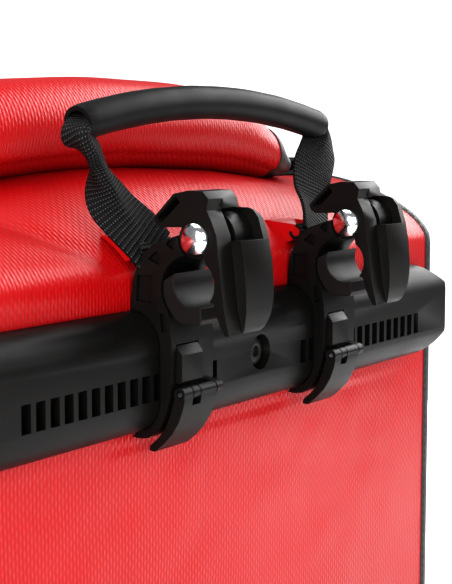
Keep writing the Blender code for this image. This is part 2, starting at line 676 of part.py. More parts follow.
def hooks():
    for word, x in (("left", -HOOK_X), ("right", HOOK_X)):
        hook_body(word, x)
        tube_insert(word, x)
        jaw(word, x)
        rivet(word, x)
        spring(word, x)
        lock_lever(word, x)
        slot_catch(word, x)


def grip_middle(x):
    """Centre of the grip at x: a shallow arch between its ends."""
    share = x / (GRIP_LENGTH / 2)
    return HANDLE_AXIS[0] + 10.9 * MM, HANDLE_AXIS[1] + GRIP_LIFT + GRIP_RISE * (1 - share * share)


def handle():
    half = GRIP_LENGTH / 2
    stations = [half * (-1 + 2 * step / 16) for step in range(17)]

    def ring(x, radius_y, radius_z, steps=16):
        y, z = grip_middle(x)
        slope = -2 * GRIP_RISE * x / half ** 2
        tilt = math.atan(slope)
        turns = [2 * math.pi * k / steps for k in range(steps)]
        return [(x - radius_z * math.sin(a) * math.sin(tilt), y + radius_y * math.cos(a),
                 z + radius_z * math.sin(a) * math.cos(tilt)) for a in turns]

    outer = [ring(x, GRIP_RADIUS, GRIP_RADIUS) for x in stations]
    bore = GRIP_RADIUS - GRIP_WALL
    inner = [ring(x, bore, bore) for x in stations]
    origin = (0.0, *HANDLE_AXIS)
    add("handle_grip", skin_over(outer, inner), "grip", origin)

    # The webbing runs from one anchor bar up through the grip and down to the other.
    side_run = []
    drop = HANDLE_AXIS[1]
    climb = grip_middle(half)[1] - drop
    back = grip_middle(half)[0] - HANDLE_AXIS[0]
    rises = ((0.06, 0.0, 1.0, 0.0), (0.11, 0.01, 1.0, 0.3), (0.20, 0.04, 1.0, 5.5),
             (0.30, 0.10, 1.0, 10.5), (0.46, 0.32, 0.86, 14.5), (0.62, 0.60, 0.55, 19.0),
             (0.74, 0.85, 0.40, 24.5), (0.84, 0.97, 0.31, 30.0))
    for rise, lean, wide, out in rises:
        side_run.append((ANCHOR_X + out * MM, HANDLE_AXIS[0] + back * lean, drop + climb * rise, wide))
    neck = STRAP_WIDTH * 0.30

    def band(middle, across, normal, width, thick):
        a, n = across.normalized() * width / 2, normal.normalized() * thick / 2
        return [tuple(middle + a + n), tuple(middle - a + n), tuple(middle - a - n),
                tuple(middle + a - n)]

    right = []
    for out, y, z, wide in side_run:
        thick = STRAP_THICKNESS * (1 if wide > 0.9 else 1.6)
        right.append(band(Vector((out, y, z)), Vector((1, 0, 0)), Vector((0, 1, 0)),
                          STRAP_WIDTH * wide, thick))
    y, z = grip_middle(half)
    right.append(band(Vector((half + 5.0 * MM, y, z - 1.4 * MM)), Vector((1, 0, 1)),
                      Vector((0, 1, 0)), neck, STRAP_THICKNESS * 2))
    for out in (half + 1.2 * MM, half * 0.85, half * 0.6, half * 0.3):
        y, z = grip_middle(out)
        right.append(band(Vector((out, y, z)), Vector((0, 0, 1)), Vector((0, 1, 0)),
                          neck, STRAP_THICKNESS * 2))
    y, z = grip_middle(0.0)
    centre = band(Vector((0.0, y, z)), Vector((0, 0, 1)), Vector((0, 1, 0)), neck,
                  STRAP_THICKNESS * 2)
    # Each mirrored corner keeps its number, so that the walls don't twist.
    left = [[(-p[0], p[1], p[2]) for p in section] for section in reversed(right)]
    sections = right + [centre] + left
    strap = add("handle_strap", skin_over(sections), "webbing", origin)
    for word, side in (("left", -1), ("right", 1)):
        eye = disc(HANDLE_AXIS, ANCHOR_BAR + SLACK + STRAP_THICKNESS, 20)
        x = side * ANCHOR_X
        join(strap, f"strap_eye_{word}", prism(eye, x - STRAP_WIDTH / 2, x + STRAP_WIDTH / 2))
        bore = disc(HANDLE_AXIS, ANCHOR_BAR + SLACK, 16)
        cut(strap, f"strap_bore_{word}",
            prism(bore, x - STRAP_WIDTH, x + STRAP_WIDTH))


def handle_anchors():
    for word, side in (("left", -1), ("right", 1)):
        x = side * ANCHOR_X
        inner, outer = STRAP_WIDTH / 2 + SLACK, STRAP_WIDTH / 2 + 1.8 * MM
        heights = [HANDLE_AXIS[1] + step * MM for step in (-4, -2, 0, 2, 4)]
        near = [(skin_y(z, GAP), z) for z in heights]
        far = [(skin_y(z, GAP + 1.8 * MM), z) for z in heights]
        plate = prism(strip_between(near, far), x - outer, x + outer)
        anchor = add(f"handle_anchor_{word}", plate, "tarpaulin")
        ears = []
        for low, high in ((-outer, -inner), (inner, outer)):
            nose = arc(HANDLE_AXIS, 2.6 * MM, 90, 270, 8)
            foot = (skin_y(HANDLE_AXIS[1] - 4 * MM, 1 * MM), HANDLE_AXIS[1] - 4 * MM)
            head = (skin_y(HANDLE_AXIS[1] + 4 * MM, 1 * MM), HANDLE_AXIS[1] + 4 * MM)
            ears.append(prism(nose + [foot, head], x + low, x + high))
        join(anchor, f"anchor_ears_{word}", merge(*ears))
        join(anchor, f"anchor_bar_{word}",
             prism(disc(HANDLE_AXIS, ANCHOR_BAR, 16), x - inner - 1 * MM, x + inner + 1 * MM))


def buckles():
    """Closure straps: a tab and buckle from each end of the roll, over the side and down."""
    foot = BODY_HEIGHT + 2 * GAP
    y = CREST_Y + BUCKLE_OFFSET
    middle_z = foot + BUCKLE_HEIGHT / 2
    wall = 1.5 * MM
    for word, side in (("left", -1), ("right", 1)):
        roll_tip = ROLL_LENGTH / 2 + ROLL_END_LENGTH
        outer_end = BAG_WIDTH / 2 - BUCKLE_INSET
        female_start = outer_end - BUCKLE_LENGTH

        def span(low, high):
            return (side * low, side * high) if side > 0 else (side * high, side * low)

        tab_low, tab_high = span(roll_tip + GAP, female_start - 9.0 * MM)
        add(f"closure_tab_{word}",
            block((tab_low, y - STRAP_WIDTH / 2, middle_z - 0.75 * MM),
                  (tab_high, y + STRAP_WIDTH / 2, middle_z + 0.75 * MM)), "webbing")

        low, high = span(female_start - 8.6 * MM, female_start - GAP)
        add(f"buckle_male_{word}",
            block((low, y - BUCKLE_WIDTH / 2 + 0.6 * MM, foot),
                  (high, y + BUCKLE_WIDTH / 2 - 0.6 * MM, foot + BUCKLE_HEIGHT - 1 * MM)),
            "moulding")
        arms = []
        reach = BUCKLE_WIDTH / 2
        for way in (-1, 1):
            outline = [(female_start + GAP, 4.6 * MM), (female_start + 10 * MM, 6.4 * MM),
                       (female_start + 13.5 * MM, 5.4 * MM), (female_start + 14 * MM, 8.2 * MM),
                       (female_start + 8.4 * MM, reach + 0.4 * MM),
                       (female_start + 6.6 * MM, reach + 0.4 * MM),
                       (female_start + 5.8 * MM, reach - 2.0 * MM), (female_start + GAP, 7.0 * MM)]
            points = [(side * a, y + way * b) for a, b in outline]
            arms.append(prism(points, middle_z - 1.8 * MM, middle_z + 1.8 * MM, "Z"))
        low, high = span(female_start + GAP, female_start + 2.2 * MM)
        root = block((low, y - 6.4 * MM, middle_z - 1.6 * MM), (high, y + 6.4 * MM, middle_z + 1.6 * MM))
        prongs = add(f"buckle_prongs_{word}", root, "moulding")
        join(prongs, f"prong_arms_{word}", merge(*arms))
        low, high = span(female_start + 1.5 * MM, female_start + 12 * MM)
        tongue = block((low, y - 1.5 * MM, middle_z - 1.4 * MM),
                       (high, y + 1.5 * MM, middle_z + 1.4 * MM))
        join(prongs, f"prong_tongue_{word}", tongue)

        low, high = span(female_start, outer_end)
        shell = add(f"buckle_female_{word}",
                    block((low, y - BUCKLE_WIDTH / 2, foot),
                          (high, y + BUCKLE_WIDTH / 2, foot + BUCKLE_HEIGHT)), "moulding")
        low, high = span(female_start - 1 * MM, outer_end - 4.5 * MM)
        cut(shell, f"shell_hollow_{word}",
            block((low, y - BUCKLE_WIDTH / 2 + wall, foot + wall),
                  (high, y + BUCKLE_WIDTH / 2 - wall, foot + BUCKLE_HEIGHT - wall)))
        low, high = span(female_start + 5.2 * MM, female_start + 14.6 * MM)
        cut(shell, f"shell_windows_{word}",
            block((low, y - BUCKLE_WIDTH, middle_z - 2.2 * MM),
                  (high, y + BUCKLE_WIDTH, middle_z + 2.2 * MM)))

        edge = BAG_WIDTH / 2
        flat = foot + STRAP_THICKNESS / 2 + GAP
        run = [(outer_end + GAP, middle_z, 0, 1), (outer_end + 2.5 * MM, flat, 0, 1),
               (edge - 0.5 * MM, flat, 0, 1), (edge + 2.5 * MM, flat - 1.2 * MM, 0.7, 0.7),
               (edge + 3.6 * MM, flat - 4 * MM, 1, 0), (edge + 3.6 * MM, SIDE_STRAP_END, 1, 0)]
        outer_run, inner_run = [
            [(side * (a + way * out * STRAP_THICKNESS / 2), z + way * up * STRAP_THICKNESS / 2)
             for a, z, out, up in run] for way in (1, -1)]
        strap = prism(strip_between(outer_run, inner_run), y - STRAP_WIDTH / 2, y + STRAP_WIDTH / 2, "Y")
        add(f"side_strap_{word}", strap, "webbing")

        face = BAG_WIDTH / 2 + GAP
        low, high = span(face - 0.5 * SKIN, face + 1.2 * MM)
        add(f"strap_patch_{word}",
            block((low, y - 0.8 * STRAP_WIDTH, SIDE_STRAP_END - 34 * MM),
                  (high, y + 0.8 * STRAP_WIDTH, SIDE_STRAP_END - GAP)), "tarpaulin")


def lower_anchor():
    """The short track low on the back, and the swivelling hook that slides in it."""
    back = BACK_Y - GAP
    front = back - ANCHOR_TRACK_DEPTH
    half = ANCHOR_TRACK_LENGTH / 2
    z = ANCHOR_TRACK_Z
    high = ANCHOR_TRACK_HEIGHT / 2
    chamfer = 2.5 * MM
    outline = [(back, z - high), (front + chamfer, z - high), (front, z - high + chamfer),
               (front, z + high - chamfer), (front + chamfer, z + high), (back, z + high)]
    track = add("anchor_track", prism(outline, -half, half), "moulding")
    lip = 2.2 * MM
    channel = ANCHOR_CHANNEL / 2
    cut(track, "track_channel",
        block((-half + 12 * MM, front + lip, z - channel), (half - 12 * MM, back - 1.6 * MM, z + channel)))
    mouth = ANCHOR_MOUTH / 2
    cut(track, "track_mouth",
        block((-half + 12 * MM, front - 1 * MM, z - mouth), (half - 12 * MM, front + 2 * lip, z + mouth)))

    nut = block((-8 * MM, front + lip + GAP, z - channel + SLACK),
                (8 * MM, back - 1.6 * MM - GAP, z + channel - SLACK))
    plate = add("anchor_nut", nut, "moulding")
    cut(plate, "anchor_nut_bore",
        prism(disc((0.0, z), SCREW_SHAFT + GAP, 16), front - 5 * MM, back - 2.4 * MM, "Y"))

    # The hook: a round foot on the track and a flat tongue that reaches behind the carrier's strut.
    foot = front - GAP
    disc_thick = 4.0 * MM
    hook = add("anchor_hook", prism(disc((0.0, z), 12 * MM, 28), foot - disc_thick, foot, "Y"),
               "moulding", (0.0, foot, z))
    reach = foot - 17 * MM
    arm = prism([(-6 * MM, z - 8 * MM), (6 * MM, z - 8 * MM), (9 * MM, z - 20 * MM),
                 (9 * MM, z - 24 * MM), (-9 * MM, z - 24 * MM), (-9 * MM, z - 20 * MM)],
                foot - disc_thick, foot, "Y")
    join(hook, "anchor_arm", arm)
    join(hook, "anchor_bridge", block((-9 * MM, reach, z - 24 * MM), (9 * MM, foot - 1 * MM, z - 20 * MM)))
    tongue = block((-9 * MM, reach - 3 * MM, z - 24 * MM), (9 * MM, reach + 0.5 * MM, z + 4 * MM))
    join(hook, "anchor_tongue", tongue)
    cut(hook, "anchor_bore", prism(disc((0.0, z), SCREW_SHAFT + GAP, 16), foot - 9 * MM, foot + 3 * MM, "Y"))
    bolt = screw(0.0, z, foot - disc_thick - GAP - 2.6 * MM, back - 2.8 * MM, SCREW_SHAFT, SCREW_HEAD,
                 2.6 * MM)
    add("anchor_bolt", bolt, "steel")


def main():
    clear_scene()
    bag_panels()
    back_stiffener()
    rolled_closure()
    mounting_rail()
    rail_fasteners()
    hooks()
    handle()
    handle_anchors()
    buckles()
    lower_anchor()


main()
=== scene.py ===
import json
import math
import bmesh
import bpy
from mathutils import Matrix, Vector, noise


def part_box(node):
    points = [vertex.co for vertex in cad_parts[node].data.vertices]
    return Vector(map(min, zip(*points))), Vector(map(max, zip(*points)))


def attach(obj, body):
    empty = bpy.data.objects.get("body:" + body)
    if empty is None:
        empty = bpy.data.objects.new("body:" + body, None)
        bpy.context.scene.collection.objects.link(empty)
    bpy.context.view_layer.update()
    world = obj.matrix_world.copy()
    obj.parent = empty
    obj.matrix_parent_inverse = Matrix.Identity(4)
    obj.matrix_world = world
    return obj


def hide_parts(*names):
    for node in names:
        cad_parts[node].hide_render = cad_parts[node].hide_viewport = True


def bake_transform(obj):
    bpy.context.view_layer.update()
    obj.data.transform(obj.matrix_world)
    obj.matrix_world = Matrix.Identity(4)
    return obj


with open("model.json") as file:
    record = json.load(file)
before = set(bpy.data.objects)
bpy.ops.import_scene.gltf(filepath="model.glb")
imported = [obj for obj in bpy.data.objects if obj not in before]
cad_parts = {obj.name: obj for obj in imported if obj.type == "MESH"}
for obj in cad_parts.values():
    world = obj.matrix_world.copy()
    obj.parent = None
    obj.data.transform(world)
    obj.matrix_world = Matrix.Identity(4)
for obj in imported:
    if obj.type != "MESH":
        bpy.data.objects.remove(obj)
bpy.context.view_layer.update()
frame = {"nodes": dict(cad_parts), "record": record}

mm = 0.001
tiny = 1e-9  # keeps a division by a length above zero
sides = (("left", -1), ("right", 1))
print("frame loaded")


class Sock:  # a shader socket that takes part in Python sums
    def __init__(self, board, socket):
        self.board = board
        self.socket = socket

    def mathWith(self, operation, *others, flip=False):
        values = [self, *others]
        if flip:
            values.reverse()
        return self.board.node("ShaderNodeMath", {"operation": operation}, values)

    def __add__(self, other):
        return self.mathWith("ADD", other)

    def __radd__(self, other):
        return self.mathWith("ADD", other)

    def __sub__(self, other):
        return self.mathWith("SUBTRACT", other)

    def __rsub__(self, other):
        return self.mathWith("SUBTRACT", other, flip=True)

    def __mul__(self, other):
        return self.mathWith("MULTIPLY", other)

    def __rmul__(self, other):
        return self.mathWith("MULTIPLY", other)

    def __truediv__(self, other):
        return self.mathWith("DIVIDE", other)

    def __pow__(self, other):
        return self.mathWith("POWER", other)

    def __mod__(self, other):
        return self.mathWith("FLOORED_MODULO", other)

    def floor(self):
        return self.mathWith("FLOOR")

    def wave(self):  # one smooth hump, 0 to 1, for each whole step of the value
        return (self * (2 * math.pi)).mathWith("COSINE") * -0.5 + 0.5

    def clamp(self):
        return self.board.node("ShaderNodeClamp", {}, [self])


class Board:  # the node tree of one material
    def __init__(self, name, settings):
        self.material = bpy.data.materials.new(name)
        self.material.use_nodes = True
        self.tree = self.material.node_tree
        self.shader = self.tree.nodes["Principled BSDF"]
        for socket, value in settings.items():
            self.shader.inputs[socket].default_value = value
        self.material.diffuse_color = settings.get("Base Color", (0.5, 0.5, 0.5, 1))

    def node(self, kind, settings, values, output=0):
        made = self.tree.nodes.new(kind)
        for key, value in settings.items():
            setattr(made, key, value)
        pairs = values.items() if isinstance(values, dict) else enumerate(values)
        for key, value in pairs:
            self.put(made.inputs[key], value)
        return Sock(self, made.outputs[output])

    def put(self, target, value):
        if isinstance(value, Sock):
            self.tree.links.new(value.socket, target)
        else:
            target.default_value = value

    def place(self, uv=False, scale=(1, 1, 1)):  # where the pattern is read, in metres times scale
        point = self.node("ShaderNodeTexCoord", {}, [], "UV" if uv else "Object")
        return self.node("ShaderNodeVectorMath", {"operation": "MULTIPLY"}, [point, scale])

    def axes(self, point):
        split = self.tree.nodes.new("ShaderNodeSeparateXYZ")
        self.put(split.inputs[0], point)
        return [Sock(self, split.outputs[k]) for k in range(3)]

    def noise(self, point, scale, detail=3.0, rough=0.55):
        values = {"Vector": point, "Scale": scale, "Detail": detail, "Roughness": rough}
        return self.node("ShaderNodeTexNoise", {}, values)

    def mix(self, factor, low, high):
        return self.node("ShaderNodeMix", {"data_type": "RGBA"}, {0: factor, 6: low, 7: high}, 2)

    def feed(self, socket, value):
        self.put(self.shader.inputs[socket], value)

    def bump(self, height, distance, strength=1.0):
        values = {"Strength": strength, "Distance": distance, "Height": height}
        self.feed("Normal", self.node("ShaderNodeBump", {}, values))


def tarpaulin():
    look = {"cell": 1.7 * mm, "length": 3.6 * mm, "red": (0.53, 0.010, 0.013, 1),
            "deep": (0.38, 0.004, 0.006, 1), "relief": 0.16 * mm}
    board = Board("tarpaulin", {"Roughness": 0.36, "Specular IOR Level": 0.30, "Base Color": look["red"]})
    u, v = board.axes(board.place(uv=True))[:2]
    wander = board.noise(board.place(), 60.0, 2.0) * 0.35
    column = u / look["cell"] + wander
    shift = column.floor() % 2 * 0.5
    row = v / look["length"] + shift
    threads = column.wave() * (row.wave() * 0.75 + 0.25)
    broad = board.noise(board.place(), 14.0, 3.0)
    fine = board.noise(board.place(), 900.0, 2.0)
    tone = (threads * 0.35 + broad * 0.5).clamp()
    board.feed("Base Color", board.mix(tone, look["deep"], look["red"]))
    board.feed("Roughness", broad * 0.12 + fine * 0.06 + 0.27)
    board.bump(threads + fine * 0.12, look["relief"], 0.8)
    return board.material


def coatedBlack():
    look = {"black": (0.016, 0.016, 0.018, 1), "worn": (0.035, 0.035, 0.038, 1)}
    board = Board("blackCoatedFabric", {"Roughness": 0.5, "Base Color": look["black"]})
    x, y, z = board.axes(board.place(scale=(1400, 1400, 1400)))
    weave = (x + z).wave() * (y + z).wave()
    cloud = board.noise(board.place(), 90.0)
    board.feed("Base Color", board.mix((cloud * 0.8).clamp(), look["black"], look["worn"]))
    board.feed("Roughness", cloud * 0.25 + 0.38)
    board.bump(weave + cloud, 0.05 * mm, 0.5)
    return board.material


def moulding(name, black, worn, rough, grain):
    board = Board(name, {"Roughness": rough, "Base Color": black, "Specular IOR Level": 0.17})
    cloud = board.noise(board.place(), 45.0, 4.0)
    fine = board.noise(board.place(), grain, 2.0)
    scuff = board.noise(board.place(scale=(1, 1, 6)), 160.0, 4.0, 0.7)
    marks = ((scuff - 0.62) * 6.0).clamp()
    board.feed("Base Color", board.mix((cloud * 0.5 + marks * 0.4).clamp(), black, worn))
    board.feed("Roughness", cloud * 0.16 + fine * 0.10 + (rough - 0.13))
    board.bump(fine + cloud * 0.4, 0.035 * mm, 0.55)
    return board.material


def webbing():
    look = {"rib": 1.35 * mm, "thread": 0.95 * mm, "black": (0.005, 0.005, 0.0055, 1),
            "light": (0.15, 0.15, 0.15, 1)}
    board = Board("webbing", {"Roughness": 0.75, "Base Color": look["black"], "Specular IOR Level": 0.3})
    u, v = board.axes(board.place(uv=True))[:2]
    ribs = (v / look["rib"]).wave()
    threads = (u / look["thread"]).wave()
    knots = ((ribs * threads - 0.60) * 5.0).clamp()
    fuzz = board.noise(board.place(), 1500.0, 2.0)
    board.feed("Base Color", board.mix((knots * fuzz).clamp(), look["black"], look["light"]))
    board.feed("Roughness", fuzz * 0.2 + 0.6)
    board.bump(ribs * 1.6 + threads * 0.5 + fuzz * 0.2, 0.30 * mm, 1.0)
    return board.material


def gripRubber():
    look = {"black": (0.007, 0.007, 0.007, 1), "dust": (0.013, 0.013, 0.013, 1)}
    board = Board("gripRubber", {"Roughness": 0.5, "Base Color": look["black"], "Specular IOR Level": 0.15})
    cloud = board.noise(board.place(scale=(1, 4, 4)), 40.0, 4.0)
    fine = board.noise(board.place(), 1800.0, 2.0)
    board.feed("Base Color", board.mix(cloud, look["black"], look["dust"]))
    board.feed("Roughness", cloud * 0.14 + 0.40)
    board.bump(fine + cloud, 0.03 * mm, 0.4)
    return board.material


def zincSteel():
    look = {"bright": (0.82, 0.84, 0.87, 1), "dull": (0.55, 0.57, 0.60, 1)}
    board = Board("zincSteel", {"Metallic": 1.0, "Roughness": 0.14, "Base Color": look["bright"]})
    cloud = board.noise(board.place(), 380.0, 4.0, 0.6)
    scratch = board.noise(board.place(scale=(1, 1, 9)), 900.0, 3.0)
    board.feed("Base Color", board.mix(((cloud - 0.4) * 2.0).clamp(), look["bright"], look["dull"]))
    board.feed("Roughness", cloud * 0.12 + scratch * 0.08 + 0.05)
    board.bump(cloud + scratch * 0.4, 0.03 * mm, 0.35)
    return board.material


def stiffenerSheet():
    board = Board("stiffenerSheet", {"Roughness": 0.5, "Base Color": (0.04, 0.04, 0.042, 1)})
    cloud = board.noise(board.place(), 60.0)
    board.feed("Roughness", cloud * 0.2 + 0.4)
    board.bump(cloud, 0.05 * mm, 0.4)
    return board.material


mouldings = {  # base and worn colours, roughness and the scale of the grain
    "blackMoulding": ((0.0070, 0.0066, 0.0062, 1), (0.014, 0.013, 0.012, 1), 0.40, 1100.0),
    "insertPlastic": ((0.011, 0.010, 0.0095, 1), (0.024, 0.021, 0.019, 1), 0.50, 800.0),
    "blackenedSteel": ((0.012, 0.012, 0.013, 1), (0.05, 0.05, 0.052, 1), 0.34, 900.0),
}
finishes = {
    "tarpaulin": tarpaulin(),
    "black_coated_fabric": coatedBlack(),
    "black_moulding": moulding("blackMoulding", *mouldings["blackMoulding"]),
    "tube_insert_plastic": moulding("insertPlastic", *mouldings["insertPlastic"]),
    "webbing": webbing(),
    "grip_rubber": gripRubber(),
    "zinc_plated_steel": zincSteel(),
    "blackened_steel": moulding("blackenedSteel", *mouldings["blackenedSteel"]),
    "stiffener_sheet": stiffenerSheet(),
}
slotOf = {part["node"]: part["material_slot"] for part in frame["record"]["subparts"]}
bodyOf = {node: body for body, nodes in frame["record"]["behaviour"]["bodies"].items() for node in nodes}
for node, thing in frame["nodes"].items():
    thing.data.materials.clear()
    thing.data.materials.append(finishes[slotOf[node]])
print("finishes made")


def finishPiece(name, bm, nodes, smooth=35, replace=True):  # makes a new piece in the finish of its CAD nodes, hiding those nodes when it replaces them
    mesh = bpy.data.meshes.new(name)
    bm.to_mesh(mesh)
    bm.free()
    mesh.shade_smooth()
    mesh.set_sharp_from_angle(angle=math.radians(smooth))
    piece = bpy.data.objects.new(name, mesh)
    bpy.context.collection.objects.link(piece)
    mesh.materials.append(finishes[slotOf[nodes[0]]])
    if replace:
        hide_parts(*nodes)
    return piece


# A skin through rings of points, each bridged to the next.
def loft(rings, capped=True):
    bm = bmesh.new()
    loops = []
    for ring in rings:
        verts = [bm.verts.new(point) for point in ring]
        loops.append([bm.edges.new(ends) for ends in zip(verts, verts[1:] + verts[:1])])
    for near, far in zip(loops, loops[1:]):
        bmesh.ops.bridge_loops(bm, edges=near + far)
    if capped:
        for loop in (loops[0], loops[-1]):
            bmesh.ops.edgeloop_fill(bm, edges=loop)
    bmesh.ops.recalc_face_normals(bm, faces=bm.faces)
    return bm


def mappedGrid(columns, rows, place, size):  # a grid bent to place(u, v), with a UV map of size in metres
    bm = bmesh.new()
    bmesh.ops.create_grid(bm, x_segments=columns, y_segments=rows, size=0.5)
    layer = bm.loops.layers.uv.new("UVMap")
    for face in bm.faces:
        for corner in face.loops:
            u, v = corner.vert.co.x + 0.5, corner.vert.co.y + 0.5
            corner[layer].uv = (u * size[0], v * size[1])
    for vert in bm.verts:
        vert.co = place(vert.co.x + 0.5, vert.co.y + 0.5)
    return bm


def smoothRun(points, steps):  # a Catmull-Rom run through points
    run = []
    for k in range(len(points) - 1):
        a = points[max(k - 1, 0)]
        b, c = points[k], points[k + 1]
        d = points[min(k + 2, len(points) - 1)]
        for step in range(steps):
            t = step / steps
            square, cube = t * t, t ** 3
            weights = (2 * square - t - cube, 2 - 5 * square + 3 * cube,
                       t + 4 * square - 3 * cube, cube - square)
            run.append(tuple(sum(w * q for w, q in zip(weights, four)) / 2 for four in zip(a, b, c, d)))
    run.append(tuple(points[-1]))
    return run


def lerp(low, high, share):
    return low + (high - low) * share


def ease(share):
    share = min(1.0, max(0.0, share))
    return share * share * (3 - 2 * share)


def addSolid(piece, thickness, offset=-1.0):
    wall = piece.modifiers.new("wall", "SOLIDIFY")
    wall.thickness = thickness
    wall.offset = offset


def addRound(piece, width, segments=2, angle=32):
    edge = piece.modifiers.new("edge", "BEVEL")
    edge.width = width
    edge.segments = segments
    edge.limit_method = "ANGLE"
    edge.angle_limit = math.radians(angle)
    edge.use_clamp_overlap = True
    edge.harden_normals = True


def addSmooth(piece, levels):
    smooth = piece.modifiers.new("smooth", "SUBSURF")
    smooth.levels = levels
    smooth.render_levels = levels


def mouldedCopy(node, width):  # the CAD piece with its edges rounded as a mould leaves them
    bm = bmesh.new()
    bm.from_mesh(frame["nodes"][node].data)
    bmesh.ops.remove_doubles(bm, verts=bm.verts, dist=0.01 * mm)
    bmesh.ops.dissolve_limit(bm, angle_limit=math.radians(1.5), verts=bm.verts, edges=bm.edges)
    piece = finishPiece(node + "_moulded", bm, [node], 50)
    addRound(piece, width)
    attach(piece, bodyOf[node])
    return piece


bag = {"wrapColumns": 180, "wrapRows": 260, "skin": 1.2 * mm, "baseSkin": 2.4 * mm, "corner": 16 * mm,
       "cornerSteps": 6, "backFall": 29 * mm, "frontFall": 75 * mm, "arcSteps": 24}
cloth = {"bulge": 3.0 * mm, "arch": 6.5 * mm, "archReach": 14 * mm, "waves": (16, 22, 22), "broad": 0.8 * mm,
         "fine": 0.3 * mm, "clampedShare": 0.2}
# The crease runs from creaseStart along X and falls to its full depth below the crest.
crease = {"start": -112 * mm, "run": 50 * mm, "end": -52 * mm, "fade": 20 * mm, "drop": 4 * mm,
          "fall": 17 * mm, "width": 4.5 * mm, "depth": 1.6 * mm}
backBox, frontBox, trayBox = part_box("back_panel"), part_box("front_panel"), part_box("base_tray")
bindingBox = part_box("edge_binding_right")
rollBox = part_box("roll_closure")
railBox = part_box("mounting_rail")
crestZ = backBox[1].z
crestY = (backBox[1].y + frontBox[0].y) / 2
backY, frontY = trayBox[0].y, trayBox[1].y
halfWidth = bindingBox[1].x
panelHalf = backBox[1].x
rollHalf = rollBox[1].x
railMiddle = (railBox[0].z + railBox[1].z) / 2
slotLine = railMiddle - 4 * mm


def cornerArc(middleY, start, reach):  # a quarter turn at the foot of the bag
    steps = bag["cornerSteps"]
    turns = [math.radians(start - 90 * k / steps) for k in range(steps + 1)]
    return [(middleY + reach * math.cos(turn), bag["corner"] + reach * math.sin(turn)) for turn in turns]


def bagProfile(inset=0.0):  # the bag's outline across X, from the middle of the base round by the back
    back, front, crest = backY + inset, frontY - inset, crestZ - inset
    points = [(0.0, inset), *cornerArc(backY + bag["corner"], 270, bag["corner"] - inset)]
    foot = crestZ - bag["backFall"]
    controls = ((back, foot), (back, foot + 13 * mm - inset * 0.4),
                (crestY - 20 * mm, crest), (crestY, crest))
    steps = bag["arcSteps"]
    for k in range(steps + 1):
        t = k / steps
        weights = ((1 - t) ** 3, 3 * t * (1 - t) ** 2, 3 * t * t * (1 - t), t ** 3)
        points.append(tuple(sum(w * place for w, place in zip(weights, row)) for row in zip(*controls)))
    foot = crestZ - bag["frontFall"]
    for k in range(1, steps + 1):
        turn = math.radians(90 * k / steps)
        points.append((lerp(crestY, front, math.sin(turn)), lerp(foot, crest, math.cos(turn))))
    return [*points, *cornerArc(frontY - bag["corner"], 0, bag["corner"] - inset), (0.0, inset)]


def alongProfile(points):  # running length at each point, for reading places by length
    lengths = [0.0]
    for a, b in zip(points, points[1:]):
        lengths.append(lengths[-1] + math.hypot(b[0] - a[0], b[1] - a[1]))
    return lengths


outline = bagProfile()
outlineLengths = alongProfile(outline)
backFoot = bag["cornerSteps"] + 2  # the outline's points where the back starts and where the crest is
crestPoint = backFoot + bag["arcSteps"]


def findSpan(lengths, length):  # the stretch that holds a length, and the share of it that is passed
    k = 1
    while k < len(lengths) - 1 and lengths[k] < length:
        k += 1
    return k, (length - lengths[k - 1]) / max(lengths[k] - lengths[k - 1], tiny)


def outlineAt(length):  # (y, z) and outward normal at a length round the outline
    k, share = findSpan(outlineLengths, length)
    a, b = outline[k - 1], outline[k]
    span = max(outlineLengths[k] - outlineLengths[k - 1], tiny)
    return lerp(a[0], b[0], share), lerp(a[1], b[1], share), -(b[1] - a[1]) / span, (b[0] - a[0]) / span


def lengthAtBack(z):  # length round the outline where the back reaches a height
    for k in range(backFoot, crestPoint + 1):
        low, high = outline[k - 1][1], outline[k][1]
        if high >= z:
            return lerp(outlineLengths[k - 1], outlineLengths[k], (z - low) / max(high - low, tiny))
    return outlineLengths[crestPoint]


def rollArch(x):  # the filled bag lifts the middle of its roll
    return cloth["arch"] * max(0.0, 1 - (x / rollHalf) ** 2)


def creaseDepth(x, z):  # the roll pulls a long crease down from its foot to where the strap starts
    line = crestZ - crease["drop"] - crease["fall"] * ease((x - crease["start"]) / crease["run"])
    return math.exp(-((z - line) / crease["width"]) ** 2) * ease((crease["end"] - x) / crease["fade"])


def clothHeight(x, y, z):  # how far the cloth stands off the plain outline
    edge = 1 - (abs(x) / panelHalf) ** 6
    front = ease((y - crestY) / (30 * mm)) * ease(z / (60 * mm)) * cloth["bulge"]
    point = Vector(a * b for a, b in zip((x, y, z), cloth["waves"]))
    soft = noise.noise(point) * cloth["broad"]
    fine = noise.noise(point * 3.1 + Vector((4, 1, 7))) * cloth["fine"]
    if y < crestY:
        soft -= creaseDepth(x, z) * crease["depth"]
    free = y > backY + 1 * mm or abs(z - railMiddle) > 26 * mm
    crown = rollArch(x) * ease((z - crestZ) / cloth["archReach"] + 1)
    return (front + (soft + fine) * (1.0 if free else cloth["clampedShare"])) * edge + crown


# One sheet of the bag's skin, between two lengths of the outline.
def wrapPiece(name, nodes, start, end, rows):
    def place(u, v):
        x = lerp(-panelHalf, panelHalf, u)
        y, z, ny, nz = outlineAt(lerp(start, end, v))
        rise = clothHeight(x, y, z)
        return Vector((x, y + ny * rise, z + nz * rise))

    bm = mappedGrid(bag["wrapColumns"], rows, place, (2 * panelHalf, end - start))
    piece = finishPiece(name, bm, nodes, 60)
    addSolid(piece, bag["skin"])
    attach(piece, "bag")
    return piece


trayTop = trayBox[1].z
total = outlineLengths[-1]
backStart = lengthAtBack(trayTop)
crestLength = outlineLengths[crestPoint]
wrapPiece("backCloth", ["back_panel"], backStart, crestLength, bag["wrapRows"])
frontEnd = total - backStart
wrapPiece("frontCloth", ["front_panel"], crestLength, frontEnd, bag["wrapRows"])


